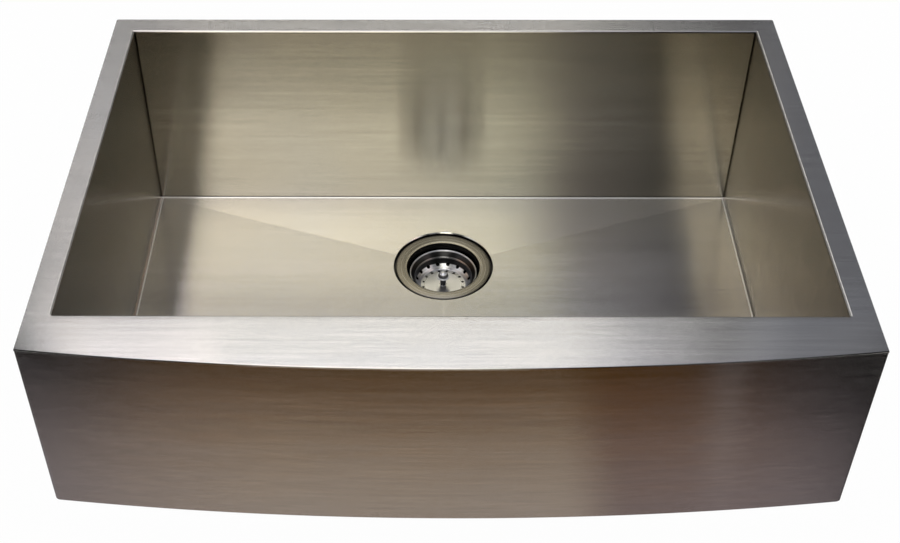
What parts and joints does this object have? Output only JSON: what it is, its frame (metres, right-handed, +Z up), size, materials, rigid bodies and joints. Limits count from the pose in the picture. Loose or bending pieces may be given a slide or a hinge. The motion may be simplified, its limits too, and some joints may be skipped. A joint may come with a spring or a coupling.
{
  "type": "farmhouse apron front sink",
  "caption": "Single-bowl steel kitchen sink with a flat rim, a bowed apron front, a creased floor and a lift-out basket strainer in the drain.",
  "frame": {"origin": "middle of the back rim's top face, which is also the plane the worktop lies on", "axes": "+X to the right seen from the front, +Y to the back, +Z up"},
  "size_m": [0.762, 0.5587, 0.3106],
  "materials": {
    "brushed_steel": "long straight brushed grain",
    "drain_steel": "circular satin grain",
    "polished_steel": "mirror polish",
    "zinc_nut": "as cast, dull",
    "black_rubber": "matt",
    "grey_pad": "matt, finely pitted",
    "grey_putty": "matt",
    "fibre": "matt pressed fibre"
  },
  "bodies": {
    "sink": {"bowl_floor": "brushed_steel", "bowl_back_panel": "brushed_steel", "bowl_left_panel": "brushed_steel", "bowl_right_panel": "brushed_steel", "bowl_front_panel": "brushed_steel", "front_deck": "brushed_steel", "apron_panel": "brushed_steel", "apron_left_return": "brushed_steel", "apron_right_return": "brushed_steel", "apron_bottom_return": "brushed_steel", "apron_brace_left": "brushed_steel", "apron_brace_right": "brushed_steel", "pad_floor_left": "grey_pad", "pad_floor_right": "grey_pad", "pad_floor_front": "grey_pad", "pad_back": "grey_pad", "pad_left": "grey_pad", "pad_right": "grey_pad", "pad_front": "grey_pad", "strainer_body": "drain_steel", "strainer_crossbar": "drain_steel", "flange_seal": "grey_putty", "sink_gasket": "black_rubber", "friction_washer": "fibre", "locknut": "zinc_nut"},
    "lift_clip": {"post_clip": "drain_steel"},
    "basket": {"basket_cup": "polished_steel", "basket_post": "polished_steel", "basket_knob": "polished_steel", "basket_stopper": "black_rubber", "stopper_washer": "drain_steel", "post_nut": "drain_steel"}
  },
  "joints": [
    {"name": "basket_lift", "type": "slide", "parent": "sink", "child": "lift_clip", "axis": [0, 0, 1], "range_m": [0, 0.06]},
    {"name": "basket_spin", "type": "hinge", "parent": "lift_clip", "child": "basket", "pos_m": [0, -0.1387, -0.27], "axis": [0, 0, 1], "continuous": true}
  ]
}
